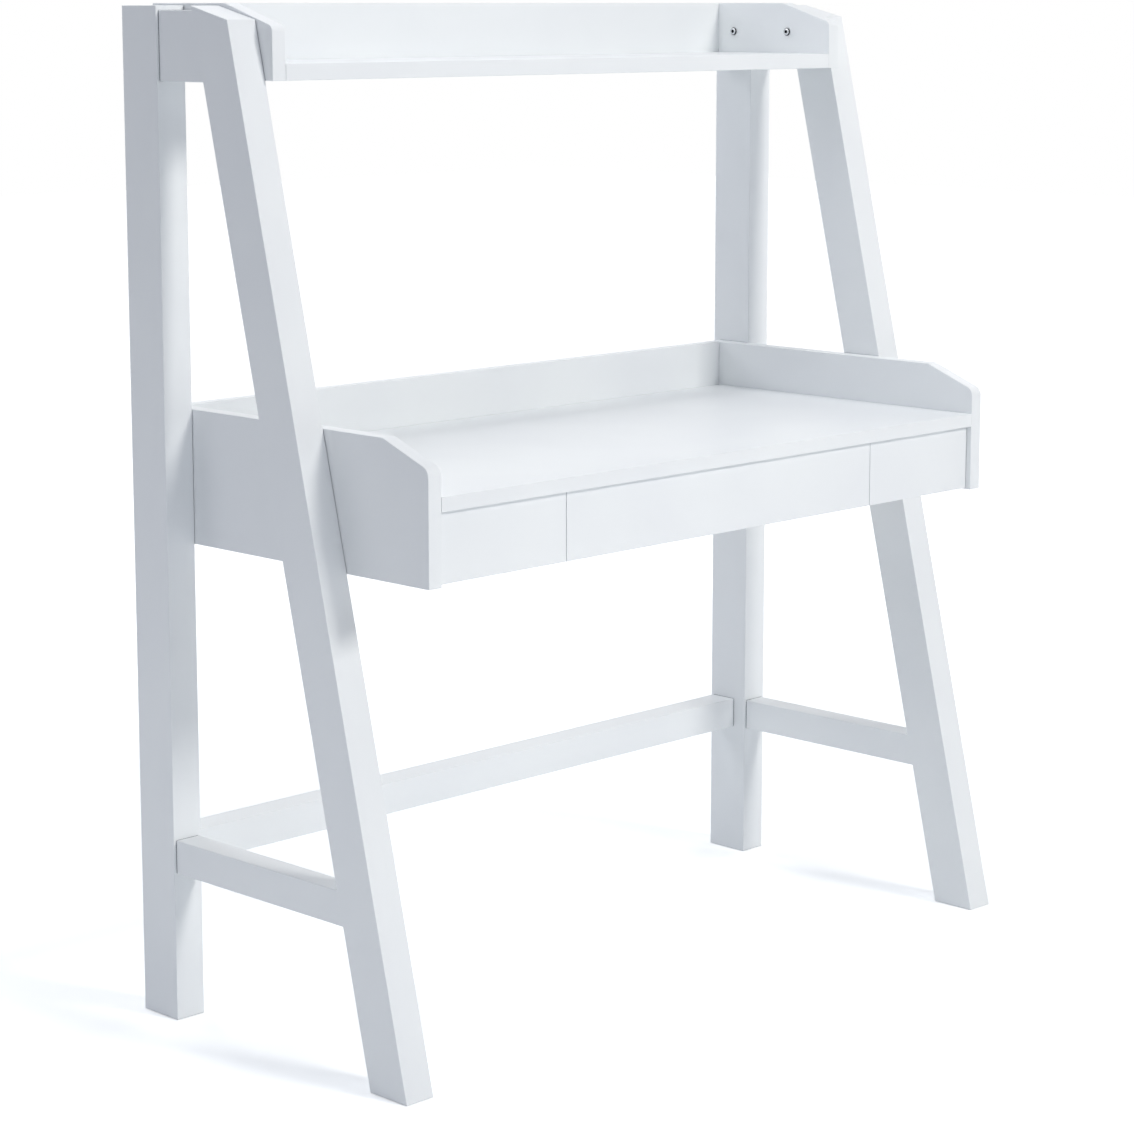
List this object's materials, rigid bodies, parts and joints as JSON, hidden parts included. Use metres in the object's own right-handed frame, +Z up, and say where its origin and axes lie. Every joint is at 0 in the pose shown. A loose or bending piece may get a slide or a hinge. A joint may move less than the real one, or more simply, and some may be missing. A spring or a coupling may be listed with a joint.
{
  "type": "desk with hutch",
  "caption": "White A-frame desk with a raised tray shelf above a work surface that has raised sides and back, and handle-less drawers on steel slides beneath it.",
  "frame": {"origin": "on the floor, under the middle of the footprint between the posts' back faces and the legs' toes", "axes": "+Z up, +X to the right of someone sitting at the desk, -Y to the front, where the drawers open"},
  "size_m": [1.203, 0.5308, 1.359],
  "materials": {
    "painted_wood": "white satin paint over smooth wood, edges slightly eased",
    "drawer_plywood": "clear satin lacquer on birch plywood",
    "drawer_bottom_board": "white-faced hardboard, smooth and slightly matt",
    "slide_steel": "bright zinc-plated rolled steel",
    "bolt_steel": "bright nickel-plated steel"
  },
  "bodies": {
    "desk": {"left_rear_post": "painted_wood", "right_rear_post": "painted_wood", "left_front_leg": "painted_wood", "right_front_leg": "painted_wood", "left_top_arm": "painted_wood", "right_top_arm": "painted_wood", "left_side_stretcher": "painted_wood", "right_side_stretcher": "painted_wood", "rear_stretcher": "painted_wood", "desk_left_side": "painted_wood", "desk_right_side": "painted_wood", "desk_back_panel": "painted_wood", "desk_top": "painted_wood", "left_drawer_divider": "painted_wood", "right_drawer_divider": "painted_wood", "shelf_board": "painted_wood", "shelf_back_panel": "painted_wood", "shelf_left_end": "painted_wood", "shelf_right_end": "painted_wood", "left_desk_rear_bolt": "bolt_steel", "left_desk_front_bolt": "bolt_steel", "right_desk_rear_bolt": "bolt_steel", "right_desk_front_bolt": "bolt_steel", "left_shelf_rear_bolt": "bolt_steel", "left_shelf_front_bolt": "bolt_steel", "right_shelf_rear_bolt": "bolt_steel", "right_shelf_front_bolt": "bolt_steel", "left_drawer_left_slide_cabinet_member": "slide_steel", "left_drawer_right_slide_cabinet_member": "slide_steel", "centre_drawer_left_slide_cabinet_member": "slide_steel", "centre_drawer_right_slide_cabinet_member": "slide_steel", "right_drawer_left_slide_cabinet_member": "slide_steel", "right_drawer_right_slide_cabinet_member": "slide_steel"},
    "left_drawer": {"left_drawer_front": "painted_wood", "left_drawer_left_side": "drawer_plywood", "left_drawer_right_side": "drawer_plywood", "left_drawer_back": "drawer_plywood", "left_drawer_bottom": "drawer_bottom_board", "left_drawer_left_slide_drawer_member": "slide_steel", "left_drawer_right_slide_drawer_member": "slide_steel"},
    "centre_drawer": {"centre_drawer_front": "painted_wood", "centre_drawer_left_side": "drawer_plywood", "centre_drawer_right_side": "drawer_plywood", "centre_drawer_back": "drawer_plywood", "centre_drawer_bottom": "drawer_bottom_board", "centre_drawer_left_slide_drawer_member": "slide_steel", "centre_drawer_right_slide_drawer_member": "slide_steel"},
    "right_drawer": {"right_drawer_front": "painted_wood", "right_drawer_left_side": "drawer_plywood", "right_drawer_right_side": "drawer_plywood", "right_drawer_back": "drawer_plywood", "right_drawer_bottom": "drawer_bottom_board", "right_drawer_left_slide_drawer_member": "slide_steel", "right_drawer_right_slide_drawer_member": "slide_steel"},
    "left_drawer_ball_cages": {"left_drawer_left_slide_ball_cage": "slide_steel", "left_drawer_right_slide_ball_cage": "slide_steel"},
    "centre_drawer_ball_cages": {"centre_drawer_left_slide_ball_cage": "slide_steel", "centre_drawer_right_slide_ball_cage": "slide_steel"},
    "right_drawer_ball_cages": {"right_drawer_left_slide_ball_cage": "slide_steel", "right_drawer_right_slide_ball_cage": "slide_steel"}
  },
  "joints": [
    {"name": "left_drawer_slide", "type": "slide", "parent": "desk", "child": "left_drawer", "axis": [0, -1, 0], "range_m": [0, 0.3]},
    {"name": "centre_drawer_slide", "type": "slide", "parent": "desk", "child": "centre_drawer", "axis": [0, -1, 0], "range_m": [0, 0.3]},
    {"name": "right_drawer_slide", "type": "slide", "parent": "desk", "child": "right_drawer", "axis": [0, -1, 0], "range_m": [0, 0.3]},
    {"name": "left_drawer_cage_roll", "type": "slide", "parent": "desk", "child": "left_drawer_ball_cages", "axis": [0, -1, 0], "range_m": [0, 0.15]},
    {"name": "centre_drawer_cage_roll", "type": "slide", "parent": "desk", "child": "centre_drawer_ball_cages", "axis": [0, -1, 0], "range_m": [0, 0.15]},
    {"name": "right_drawer_cage_roll", "type": "slide", "parent": "desk", "child": "right_drawer_ball_cages", "axis": [0, -1, 0], "range_m": [0, 0.15]}
  ],
  "couplings": [
    {"joint": "left_drawer_cage_roll", "follows": "left_drawer_slide", "ratio": 0.5},
    {"joint": "centre_drawer_cage_roll", "follows": "centre_drawer_slide", "ratio": 0.5},
    {"joint": "right_drawer_cage_roll", "follows": "right_drawer_slide", "ratio": 0.5}
  ]
}
